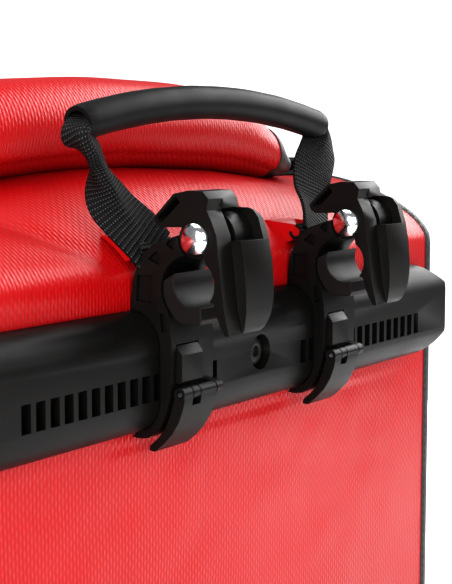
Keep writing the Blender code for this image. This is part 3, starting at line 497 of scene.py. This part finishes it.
def baseCloth():
    def place(u, v):
        x = lerp(-panelHalf, panelHalf, u)
        span = lerp(-backStart, backStart, v)
        y, z = outlineAt(-span if span < 0 else total - span)[:2]
        return Vector((x, y, z))

    bm = mappedGrid(60, 80, place, (2 * panelHalf, 2 * backStart))
    bmesh.ops.recalc_face_normals(bm, faces=bm.faces)
    piece = finishPiece("baseCloth", bm, ["base_tray"], 60)
    addSolid(piece, bag["baseSkin"])
    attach(piece, "bag")


baseCloth()


# The folded tape's section: shares of its width, and rise over the outline in mm.
tape = {"steps": 240, "gap": 0.2 * mm, "section": (
    (0.0, -1.9), (0.0, 0.1), (0.12, 0.35), (0.5, 0.5), (0.88, 0.35), (1.0, -0.1), (1.0, -1.9))}


def bindingTape(word, side):  # the folded tape over a side seam
    rings = []
    for k in range(tape["steps"]):
        y, z, ny, nz = outlineAt(total * k / tape["steps"])
        ring = []
        for across, rise in tape["section"]:
            x = side * lerp(panelHalf + tape["gap"], halfWidth, across)
            lift = rise * mm if z > 1 * mm or rise < 0 else 0.0  # flat where the bag stands on it
            ring.append((x, y + ny * lift, z + nz * lift))
        rings.append(ring)
    rings.append(rings[0])
    bm = loft(rings, capped=False)
    bmesh.ops.remove_doubles(bm, verts=bm.verts, dist=0.01 * mm)
    bmesh.ops.recalc_face_normals(bm, faces=bm.faces)
    piece = finishPiece("bindingTape_" + word, bm, ["edge_binding_" + word], 50)
    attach(piece, "bag")


sideShape = {"columns": 220, "rows": 26, "inset": 2.2 * mm, "low": 50 * mm, "high": 60 * mm, "gap": 0.3 * mm,
             "dip": 2.5 * mm, "slack": 1.6 * mm, "skin": 1.0 * mm}


def gusset(word, side):  # the side of the bag, drawn in a little along its middle
    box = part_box("side_gusset_" + word)
    face = box[1].x if side > 0 else box[0].x
    rim = bagProfile(sideShape["inset"])
    lengths = alongProfile(rim)
    low = Vector((0, 0, sideShape["low"]))
    high = Vector((0, crestY * 0.6, crestZ - sideShape["high"]))

    def place(u, v):
        k, share = findSpan(lengths, u * lengths[-1])
        edge = Vector((0, lerp(rim[k - 1][0], rim[k][0], share), lerp(rim[k - 1][1], rim[k][1], share)))
        climb = (edge.z - 40 * mm) / (crestZ - 90 * mm)
        point = edge.lerp(low.lerp(high, min(1.0, max(0.0, climb))), v)
        slack = noise.noise(Vector((point.y * 25, point.z * 14, side * 3))) * ease(v * 2)
        dip = ease(v) * sideShape["dip"] + slack * sideShape["slack"]
        point.x = face - side * (sideShape["gap"] + max(0.0, dip))
        return point

    bm = mappedGrid(sideShape["columns"], sideShape["rows"], place, (1, 1))
    layer = bm.loops.layers.uv.active
    for flat in bm.faces:  # the weave runs straight up the side, not round its rim
        for corner in flat.loops:
            corner[layer].uv = (corner.vert.co.y, corner.vert.co.z)
    bmesh.ops.remove_doubles(bm, verts=bm.verts, dist=0.02 * mm)
    bmesh.ops.recalc_face_normals(bm, faces=bm.faces)
    if sum(flat.normal.x for flat in bm.faces) * side < 0:
        bmesh.ops.reverse_faces(bm, faces=bm.faces)
    piece = finishPiece("sideCloth_" + word, bm, ["side_gusset_" + word], 60)
    addSolid(piece, sideShape["skin"])
    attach(piece, "bag")


for word, side in sides:
    bindingTape(word, side)
    gusset(word, side)
print("bag skin made")

roll = {"turns": 64, "stations": 120, "lip": 1.6 * mm, "lipAngle": 215, "sink": 1.5 * mm, "sag": 0.6 * mm,
        "taperStart": 0.72, "taperRun": 0.42, "flatten": 0.42, "narrow": 0.10}


def rollSection(x):  # one section of the roll at x, with the edge of its last turn
    drop = ease((abs(x) / rollHalf - roll["taperStart"]) / roll["taperRun"])
    full = rollBox[1].z - rollBox[0].z
    height = full * (1 - roll["flatten"] * drop)
    depth = (rollBox[1].y - rollBox[0].y) * (1 - roll["narrow"] * drop)
    foot = rollBox[0].z - roll["sink"] + rollArch(x)
    ring = []
    for k in range(roll["turns"]):
        turn = 2 * math.pi * k / roll["turns"]
        passed = (turn - math.radians(roll["lipAngle"])) % (2 * math.pi)
        lip = roll["lip"] * (1 - passed / (2 * math.pi))
        sag = roll["sag"] * noise.noise(Vector((x * 22, math.cos(turn) * 1.3, math.sin(turn) * 1.3)))
        ry, rz = depth / 2 - lip + sag, height / 2 - lip * 0.7 + sag
        ring.append((x, crestY + ry * math.cos(turn), foot + height / 2 + rz * math.sin(turn)))
    return ring


def rolledCloth():
    count = roll["stations"]
    bm = loft([rollSection(lerp(-rollHalf, rollHalf, k / count)) for k in range(count + 1)])
    layer = bm.loops.layers.uv.new("UVMap")
    radius = (rollBox[1].z - rollBox[0].z) / 2
    middleZ = rollBox[0].z + radius

    def turnOf(point):
        return math.atan2(point.z - middleZ, point.y - crestY)

    for face in bm.faces:
        base = turnOf(face.calc_center_median())
        for corner in face.loops:
            turn = turnOf(corner.vert.co)
            if turn - base > math.pi:
                turn -= 2 * math.pi
            if turn - base < -math.pi:
                turn += 2 * math.pi
            corner[layer].uv = (corner.vert.co.x, turn * radius)
    piece = finishPiece("rolledCloth", bm, ["roll_closure"], 50)
    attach(piece, "bag")


def rollEndTape(word, side):  # the black end of the roll, gathered towards its buckle
    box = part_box("roll_end_" + word)
    near, far = (box[0].x, box[1].x) if side > 0 else (box[1].x, box[0].x)
    foot = rollBox[0].z
    rings = []
    for k in range(15):
        share = k / 14
        x = lerp(near - side * 0.6 * mm, far, share)
        low = 1.03 - 0.42 * ease(share) - 0.08 * share ** 8
        narrow = lerp(1.03, 0.80, ease(share))
        ring = rollSection(side * rollHalf)
        rings.append([(x, crestY + (y - crestY) * narrow, foot + (z - foot) * low) for _, y, z in ring])
    piece = finishPiece("rollEndTape_" + word, loft(rings), ["roll_end_" + word], 50)
    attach(piece, "bag")


rolledCloth()
for word, side in sides:
    rollEndTape(word, side)
print("closure made")


edges = {"hook_body": 0.35, "jaw": 0.55, "tube_insert": 0.35, "lock_lever": 0.45, "slot_catch": 0.4,
         "buckle_female": 0.7, "buckle_male": 0.7, "handle_anchor": 0.4}  # rounding in mm
railEdges = {"mounting_rail": 0.4, "anchor_track": 0.6, "anchor_hook": 0.8}
anchorNarrowing = 0.8


def narrowAnchor(piece):
    middle = sum(v.co.x for v in piece.data.vertices) / len(piece.data.vertices)
    for vert in piece.data.vertices:
        vert.co.x = middle + (vert.co.x - middle) * anchorNarrowing


for stem, width in edges.items():
    for word, side in sides:
        copy = mouldedCopy(stem + "_" + word, width * mm)
        if stem == "handle_anchor":
            narrowAnchor(copy)
for node, width in railEdges.items():
    mouldedCopy(node, width * mm)

backing = {"endGap": 12 * mm, "thickness": 0.5 * mm, "height": 14 * mm, "inset": 0.8 * mm}


def slotBacking():  # the rail's closed back, seen dark through its slots
    bm = bmesh.new()
    bmesh.ops.create_cube(bm, size=1.0)
    size = (railBox[1].x - railBox[0].x - backing["endGap"], backing["thickness"], backing["height"])
    middle = Vector((0, railBox[1].y - backing["inset"], slotLine))
    for vert in bm.verts:
        vert.co = middle + Vector(a * b for a, b in zip(vert.co, size))
    piece = finishPiece("slotBacking", bm, ["mounting_rail"], 40, False)
    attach(piece, "bag")


slotBacking()
print("mouldings made")

handle = {"turns": 40, "stations": 64, "rise": 8 * mm, "wall": 1.8 * mm, "tilt": 1.2 * mm, "webbing": 20 * mm,
          "thickness": 1.5 * mm, "bend": 1.7 * mm, "loop": 2.4 * mm, "barBack": 10.9 * mm,
          "barDrop": 41.3 * mm, "rim": 0.35 * mm, "dents": 0.16 * mm, "stiffShare": 0.85}
acrossBand = 16  # faces across a piece of webbing
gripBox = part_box("handle_grip")
gripRadius = (gripBox[1].y - gripBox[0].y) / 2
gripY = (gripBox[0].y + gripBox[1].y) / 2
mouthX = gripBox[1].x - handle["tilt"]
mouthZ = gripBox[1].z - gripRadius - handle["rise"]


def gripRing(share, radius):
    x = share * mouthX
    z = mouthZ + handle["rise"] * (1 - share * share)
    tilt = math.atan(-2 * handle["rise"] * share / mouthX)
    ring = []
    for k in range(handle["turns"]):
        turn = 2 * math.pi * k / handle["turns"]
        out, up = radius * math.cos(turn), radius * math.sin(turn)
        ring.append((x - up * math.sin(tilt), gripY + out, z + up * math.cos(tilt)))
    return ring


def gripTube():
    last = handle["stations"]
    rings = []
    for k in range(last + 1):
        end = handle["rim"] if k in (0, last) else 0.0
        squeeze = handle["dents"] * noise.noise(Vector((k * 0.21, 3.0, 1.0)))
        rings.append(gripRing(2 * k / last - 1, gripRadius - end + squeeze))
    for k in range(last, -1, -1):
        rings.append(gripRing(2 * k / last - 1, gripRadius - handle["wall"]))
    rings.append(rings[0])
    bm = loft(rings, capped=False)
    bmesh.ops.remove_doubles(bm, verts=bm.verts, dist=0.01 * mm)
    bmesh.ops.recalc_face_normals(bm, faces=bm.faces)
    piece = finishPiece("gripTube", bm, ["handle_grip"], 50)
    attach(piece, "handle")


def bandSection(width, fold):  # webbing across its width: flat at fold 0, bent into a U at fold 1
    turn = max(fold, 0.001) * math.pi / 2
    bend = handle["bend"]
    points = []
    for k in range(acrossBand + 1):
        share = 2 * k / acrossBand - 1
        along = abs(share) * width / 2
        curved = min(along, bend * turn)
        rest = along - curved
        across = bend * math.sin(curved / bend) + rest * math.cos(turn)
        deep = bend * (1 - math.cos(curved / bend)) + rest * math.sin(turn)
        points.append((math.copysign(across, share), deep))
    middle = (min(p[1] for p in points) + max(p[1] for p in points)) / 2
    return [(across, deep - middle) for across, deep in points]


# Webbing along (x, y, z, fold, twist). With no body it is left unattached.
def bandPiece(name, nodes, path, body, across=None, replace=True):
    run = smoothRun(path, 8)
    sections = []
    for k, station in enumerate(run):
        ahead, behind = run[min(k + 1, len(run) - 1)], run[max(k - 1, 0)]
        tangent = (Vector(ahead[:3]) - Vector(behind[:3])).normalized()
        wide = Vector(across) if across else Vector((0, 1, 0)).cross(tangent).normalized()
        wide = Matrix.Rotation(math.radians(station[4]), 3, tangent) @ wide
        deep = tangent.cross(wide).normalized()
        middle = Vector(station[:3])
        sections.append([middle + wide * a + deep * d for a, d in bandSection(handle["webbing"], station[3])])
    length = sum((Vector(a[:3]) - Vector(b[:3])).length for a, b in zip(run, run[1:]))
    last = len(sections) - 1

    def place(u, v):
        return sections[round(v * last)][round(u * acrossBand)]

    bm = mappedGrid(acrossBand, last, place, (handle["webbing"], length))
    piece = finishPiece(name, bm, nodes, 70, replace)
    addSolid(piece, handle["thickness"], 0.0)
    addSmooth(piece, 1)
    if body:
        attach(piece, body)
    return piece


# Each run goes out of the grip's mouth, over its rim and down to the anchor bar: offsets in mm, fold, twist.
strapRuns = {
    "left": (
        (-16, 0, 2.8, 0.9, 0), (-5, 0, 0.6, 0.9, 0), (-1.0, -0.5, -1.6, 0.84, 8), (0.6, -1.4, -4.0, 0.76, 25),
        (-1.2, -2.2, -6.6, 0.84, 42), (-4.4, -2.2, -9.2, 0.96, 54), (-6.6, -2.2, -12.6, 1.0, 58),
        (-7.6, -2.8, -16.6, 0.86, 46), (-9.2, -3.8, -21.0, 0.6, 26), (-11.6, -5.4, -26.0, 0.32, 10),
        (-14.6, -8.6, -31.5, 0.12, 2), (-18.6, -11.8, -37.0, 0.02, 0), (-23.6, -13.8, -43.0, 0.0, 0)),
    "right": (
        (-16, 0, 2.8, 0.85, 0), (-5, 0, 0.6, 0.8, 0), (0.2, -0.6, -0.8, 0.6, -6), (1.6, -1.4, -4.6, 0.4, -14),
        (-0.6, -2.4, -9.0, 0.2, -20), (-4.0, -2.8, -13.0, 0.08, -22), (-8.0, -3.2, -17.5, 0.02, -24),
        (-11.5, -4.4, -23.0, 0.0, -20), (-15.0, -7.0, -30.0, 0.0, -13), (-19.0, -10.4, -36.0, 0.0, -6),
        (-23.0, -12.8, -41.5, 0.0, -1), (-25.0, -13.8, -44.5, 0.0, 0)),
}


def handleStrap(word, side):  # one end of the strap, and the loop that it makes round the anchor's bar
    path = [(side * (mouthX + out * mm), gripY + y * mm, mouthZ + z * mm, fold, side * -twist)
            for out, y, z, fold, twist in strapRuns[word]]
    strap = bandPiece("strap_" + word, ["handle_strap"], path, None, replace=word == "left")
    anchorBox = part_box("handle_anchor_" + word)
    barX = (anchorBox[0].x + anchorBox[1].x) / 2
    bar = Vector((barX, gripY - handle["barBack"], mouthZ - handle["barDrop"]))
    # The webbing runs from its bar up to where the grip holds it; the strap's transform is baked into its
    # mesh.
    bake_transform(strap)
    reach = handle["loop"]
    turns = [math.radians(90 + 15 * k) for k in range(19)]
    eye = [(barX, bar.y + reach * math.cos(t), bar.z + reach * math.sin(t), 0.0, 0.0) for t in turns]
    bandPiece("strapEye_" + word, ["handle_strap"], eye, "handle", (1, 0, 0), False)


gripTube()
for word, side in sides:
    handleStrap(word, side)
print("handle made")

turnedSides = 40


def turnedPiece(name, node, axis, profile, start, centre, body):  # (along, radius) rings about an axis
    rings = []
    for along, radius in profile:
        ring = []
        for k in range(turnedSides):
            turn = 2 * math.pi * k / turnedSides
            a, b = radius * math.cos(turn), radius * math.sin(turn)
            if axis == "x":
                ring.append((start + along, centre[0] + a, centre[1] + b))
            else:
                ring.append((centre[0] + a, start + along, centre[1] + b))
        rings.append(ring)
    piece = finishPiece(name, loft(rings), [node], 38)
    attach(piece, body)


def rivetDome(word):
    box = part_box("jaw_rivet_" + word)
    look = {"head": (box[1].z - box[0].z) / 2, "height": 2.9 * mm, "shaft": 2.4 * mm, "peen": 1.2 * mm}
    length = box[1].x - box[0].x
    profile = [(0.0, 0.15 * mm)]
    for k in range(1, 13):
        turn = math.radians(90 * k / 12)
        profile.append((look["height"] * (1 - math.cos(turn)) * 0.92, look["head"] * math.sin(turn)))
    profile += [(look["height"], look["head"]), (look["height"], look["shaft"]),
                (length - look["peen"], look["shaft"]), (length - look["peen"], look["head"] * 0.7),
                (length - look["peen"] * 0.35, look["head"] * 0.68), (length, look["head"] * 0.55),
                (length, 0.2 * mm)]
    centre = ((box[0].y + box[1].y) / 2, (box[0].z + box[1].z) / 2)
    turnedPiece("rivetDome_" + word, "jaw_rivet_" + word, "x", profile, box[0].x, centre, "hook_" + word)


def screwHead(node, way):  # a countersunk screw with a round driver socket
    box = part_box(node)
    head = (box[1].x - box[0].x) / 2
    length = box[1].y - box[0].y
    profile = [(1.5 * mm, 0.2 * mm), (1.5 * mm, head * 0.36), (0.15 * mm, head * 0.40), (0.0, head * 0.46),
               (0.2 * mm, head * 0.80), (0.8 * mm, head * 0.98), (1.1 * mm, head), (2.6 * mm, head * 0.98),
               (2.6 * mm, 2.2 * mm), (length, 2.1 * mm), (length, 0.2 * mm)]
    if way < 0:
        profile = [(length - along, radius) for along, radius in profile]
    centre = ((box[0].x + box[1].x) / 2, (box[0].z + box[1].z) / 2)
    turnedPiece(node + "_turned", node, "y", profile, box[0].y, centre, bodyOf[node])


for word, side in sides:
    rivetDome(word)
    screwHead("rail_screw_" + word, -1)
screwHead("rail_screw_centre", 1)
screwHead("anchor_bolt", 1)
print("fasteners made")


stitch = {"reach": 1.5 * mm, "width": 0.68 * mm, "height": 0.52 * mm, "patchPitch": 4 * mm,
          "tapePitch": 4.2 * mm}


def stitchRow(name, points, normals, slotNode, body):  # short stitches from point to point
    bm = bmesh.new()
    for k in range(len(points) - 1):
        a, b = Vector(points[k]), Vector(points[k + 1])
        along = (b - a).normalized()
        up = Vector(normals[k]).normalized()
        turn = Matrix((along, up.cross(along), up)).transposed().to_4x4()
        grown = Matrix.Diagonal((stitch["reach"], stitch["width"] / 2, stitch["height"] / 2, 1))
        spot = Matrix.Translation((a + b) / 2) @ turn @ grown
        bmesh.ops.create_icosphere(bm, subdivisions=1, radius=1.0, matrix=spot)
    piece = finishPiece(name, bm, [slotNode], 80, False)
    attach(piece, body)


def sideBand(word, side):  # from the buckle over the edge of the bag, then down its side to the patch
    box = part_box("side_strap_" + word)
    near, far = (box[0].x, box[1].x) if side > 0 else (-box[1].x, -box[0].x)
    y = (box[0].y + box[1].y) / 2
    half = handle["thickness"] / 2
    top, flat, fall = box[1].z - half, crestZ + 1.7 * mm, far - half
    path = [(near, top), (near + 2.5 * mm, flat), (halfWidth - 1 * mm, flat),
            (fall - 1 * mm, flat - 1.4 * mm), (fall, flat - 5 * mm), (fall - 0.6 * mm, flat - 90 * mm),
            (fall, lerp(flat, box[0].z, 0.7)), (fall, box[0].z)]
    run = [(side * x, y, z, 0.0, 0.0) for x, z in path]
    band = bandPiece("sideBand_" + word, ["side_strap_" + word], run, None, (0, 1, 0))
    # The foot of the strap lies under its patch; the band's transform is baked into its mesh.
    foot, head = (side * fall, y, box[0].z + 25 * mm), (side * fall, y, flat - 12 * mm)
    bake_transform(band)
    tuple(foot)
    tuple(head)


def closureBand(word):  # the short tab between the roll and its buckle
    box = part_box("closure_tab_" + word)
    y = (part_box("side_strap_" + word)[0].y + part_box("side_strap_" + word)[1].y) / 2
    level = (box[0].z + box[1].z) / 2
    run = [(lerp(box[0].x, box[1].x, k / 4), y, level + 0.1 * mm * (k % 2), 0.0, 0.0) for k in range(5)]
    bandPiece("closureBand_" + word, ["closure_tab_" + word], run, "bag", (0, 1, 0))


patch = {"cells": 40, "puff": 0.7 * mm, "ripple": 0.15 * mm, "hem": 0.12, "skin": 0.9 * mm, "seam": 3.0 * mm}


def patchCloth(word, side):  # the sewn patch that holds the strap's foot
    low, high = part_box("strap_patch_" + word)
    face = high.x if side > 0 else low.x

    def place(u, v):
        edge = min(u, 1 - u, v, 1 - v)
        ripple = patch["ripple"] * noise.noise(Vector((u * 4, v * 4, side)))
        puff = patch["puff"] * ease(edge / patch["hem"]) - patch["puff"] + ripple
        return Vector((face + side * puff, lerp(low.y, high.y, u), lerp(low.z, high.z, v)))

    bm = mappedGrid(patch["cells"], patch["cells"], place, (high.y - low.y, high.z - low.z))
    if side < 0:
        bmesh.ops.reverse_faces(bm, faces=bm.faces)
    piece = finishPiece("patchCloth_" + word, bm, ["strap_patch_" + word], 60)
    addSolid(piece, patch["skin"])
    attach(piece, "bag")


def patchStitches(word, side):
    low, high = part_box("strap_patch_" + word)
    face = high.x if side > 0 else low.x
    inset = patch["seam"]
    corners = [(low.y + inset, low.z + inset), (high.y - inset, low.z + inset),
               (high.y - inset, high.z - inset), (low.y + inset, high.z - inset)]
    points = []
    for corner, after in zip(corners, corners[1:] + corners[:1]):
        steps = round(math.dist(corner, after) / stitch["patchPitch"])
        shares = [j / steps for j in range(steps)]
        points += [(face, lerp(corner[0], after[0], t), lerp(corner[1], after[1], t)) for t in shares]
    points.append(points[0])
    normals = [(side, 0, 0)] * len(points)
    stitchRow("patchStitches_" + word, points, normals, "edge_binding_" + word, "bag")


def bindingStitches(word, side):
    count = round(total / stitch["tapePitch"])
    points, normals = [], []
    for k in range(count + 1):
        y, z, ny, nz = outlineAt(total * k / count)
        if z < 1 * mm:
            continue
        points.append((side * (panelHalf + 1.6 * mm), y + ny * 0.42 * mm, z + nz * 0.42 * mm))
        normals.append((0, ny, nz))
    stitchRow("bindingStitches_" + word, points, normals, "edge_binding_" + word, "bag")


for word, side in sides:
    sideBand(word, side)
    closureBand(word)
    patchCloth(word, side)
    patchStitches(word, side)
    bindingStitches(word, side)
print("straps made")


def makeStage():
    bm = bmesh.new()
    bmesh.ops.create_grid(bm, x_segments=2, y_segments=2, size=1.5)
    bmesh.ops.translate(bm, verts=bm.verts, vec=(0, 0, -0.4 * mm))
    mesh = bpy.data.meshes.new("floor")
    bm.to_mesh(mesh)
    bm.free()
    floor = bpy.data.objects.new("floor", mesh)
    pale = {"Roughness": 0.7, "Base Color": (0.86, 0.86, 0.86, 1), "Emission Strength": 1.0}
    board = Board("paleFloor", pale)
    x, y = board.axes(board.place())[:2]
    # Painted glow: the floor's emission rises from black near the bag to white further out, a glowing rim
    # that fades the floor into the white backdrop
    far = (((x * x + y * y) ** 0.5 - 0.35) * 1.5).clamp()
    board.feed("Emission Color", board.mix(far, (0, 0, 0, 1), (1, 1, 1, 1)))
    mesh.materials.append(board.material)
    bpy.context.collection.objects.link(floor)


def addLight(name, place, size, power):
    data = bpy.data.lights.new(name, "AREA")
    data.shape = "RECTANGLE"
    data.size, data.size_y = size
    data.energy = power
    lamp = bpy.data.objects.new(name, data)
    lamp.location = place
    lamp.rotation_euler = (Vector(lightTarget) - Vector(place)).to_track_quat("-Z", "Y").to_euler()
    bpy.context.collection.objects.link(lamp)


lights = {  # place, size and power
    "rightBox": ((1.9, -0.45, 1.25), (1.8, 1.4), 37),
    "frontFill": ((-1.1, -1.9, 1.1), (1.4, 1.4), 18),
    "leftFill": ((-1.9, -0.55, 0.75), (1.2, 1.2), 28),
    "topBox": ((-0.2, 0.3, 2.0), (1.6, 1.2), 19),
}
lightTarget = (0, 0, 0.32)
softWorld = 0.25  # what the bag is lit by; the backdrop itself is plain white


def makeLights():
    for name, (place, size, power) in lights.items():
        addLight(name, place, size, power)
    world = bpy.data.worlds.new("studio")
    world.use_nodes = True
    tree = world.node_tree
    soft = tree.nodes["Background"]
    soft.inputs[0].default_value = (1, 1, 1, 1)
    soft.inputs[1].default_value = softWorld
    plain = tree.nodes.new("ShaderNodeBackground")
    plain.inputs[1].default_value = 1.0
    plain.inputs[0].default_value = (1, 1, 1, 1)
    either = tree.nodes.new("ShaderNodeMixShader")
    seen = tree.nodes.new("ShaderNodeLightPath")
    tree.links.new(seen.outputs["Is Camera Ray"], either.inputs[0])
    tree.links.new(soft.outputs[0], either.inputs[1])
    tree.links.new(plain.outputs[0], either.inputs[2])
    tree.links.new(either.outputs[0], tree.nodes["World Output"].inputs[0])
    bpy.context.scene.world = world


def makeCamera():
    look = {"back": 0.4385, "front": 0.2747, "rise": 0.0828, "along": (0.829, 0.548, -0.110), "lens": 88.35}
    data = bpy.data.cameras.new("camera")
    data.lens = look["lens"]
    data.sensor_width = 36
    data.clip_start = 0.01
    camera = bpy.data.objects.new("camera", data)
    camera.location = (-look["back"], railBox[0].y - look["front"], slotLine + look["rise"])
    camera.rotation_euler = Vector(look["along"]).to_track_quat("-Z", "Y").to_euler()
    bpy.context.collection.objects.link(camera)
    bpy.context.scene.camera = camera


makeStage()
makeLights()
makeCamera()
bpy.context.scene.view_settings.view_transform = "Standard"
bpy.context.scene.view_settings.look = "High Contrast"
